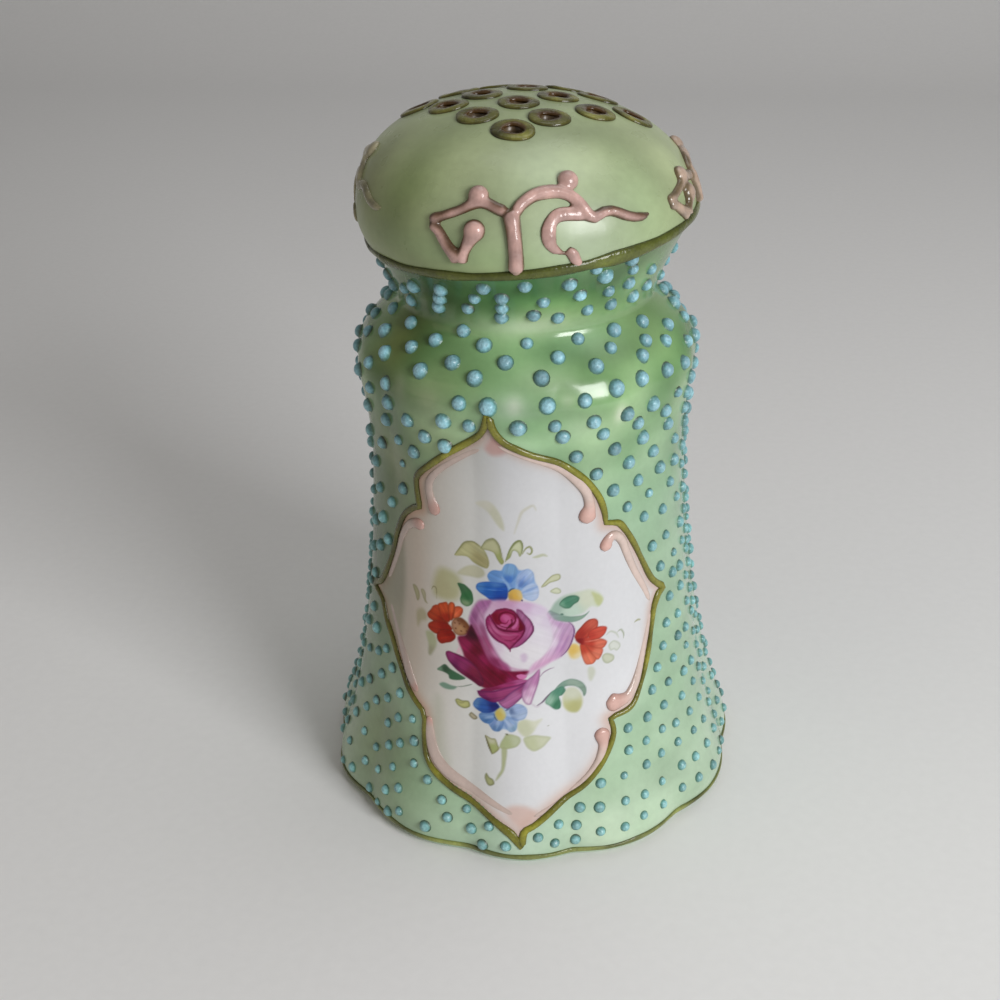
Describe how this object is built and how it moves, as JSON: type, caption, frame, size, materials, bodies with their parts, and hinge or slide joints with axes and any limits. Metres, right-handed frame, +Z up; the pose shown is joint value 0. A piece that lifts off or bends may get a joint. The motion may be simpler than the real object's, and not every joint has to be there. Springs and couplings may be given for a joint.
{
  "type": "hatpin holder",
  "caption": "Flared porcelain hatpin holder with a lightly fluted skirt, squared shoulder, short neck and pierced mushroom cap, with raised enamel beads, scrolls and a flower panel.",
  "frame": {"origin": "centre of the bounding box on the plane that the foot stands on", "axes": "+Z up through the pierced cap, -Y out of the front where the painted panel is, +X to the right as seen from the front"},
  "size_m": [0.0737, 0.0743, 0.1219],
  "materials": {
    "body_porcelain": "glossy mint green glaze, darker leaf green at the shoulder, with a white painted panel",
    "cap_porcelain": "glossy pale sage green glaze",
    "olive_enamel": "glossy dark olive enamel, worn in places",
    "scroll_enamel": "raised dusty pink enamel with brown in its hollows",
    "blush_enamel": "soft salmon pink enamel strokes",
    "bead_enamel": "raised turquoise blue enamel beads"
  },
  "bodies": {
    "root": {"body_casting": "body_porcelain", "cap_casting": "cap_porcelain", "foot_line": "olive_enamel", "seam_line": "olive_enamel", "panel_line": "olive_enamel", "panel_blush_1": "blush_enamel", "panel_blush_2": "blush_enamel", "panel_blush_3": "blush_enamel", "panel_blush_4": "blush_enamel", "panel_blush_5": "blush_enamel", "panel_blush_6": "blush_enamel", "panel_blush_7": "blush_enamel", "panel_blush_8": "blush_enamel", "cap_scroll_front": "scroll_enamel", "cap_scroll_right": "scroll_enamel", "cap_scroll_back": "scroll_enamel", "cap_scroll_left": "scroll_enamel", "cap_drop_front": "scroll_enamel", "cap_drop_right": "scroll_enamel", "cap_drop_back": "scroll_enamel", "cap_drop_left": "scroll_enamel", "pin_rim_1": "olive_enamel", "pin_rim_2": "olive_enamel", "pin_rim_3": "olive_enamel", "pin_rim_4": "olive_enamel", "pin_rim_5": "olive_enamel", "pin_rim_6": "olive_enamel", "pin_rim_7": "olive_enamel", "pin_rim_8": "olive_enamel", "pin_rim_9": "olive_enamel", "pin_rim_10": "olive_enamel", "pin_rim_11": "olive_enamel", "pin_rim_12": "olive_enamel", "pin_rim_13": "olive_enamel", "pin_rim_14": "olive_enamel", "pin_rim_15": "olive_enamel", "pin_rim_16": "olive_enamel"}
  },
  "joints": []
}
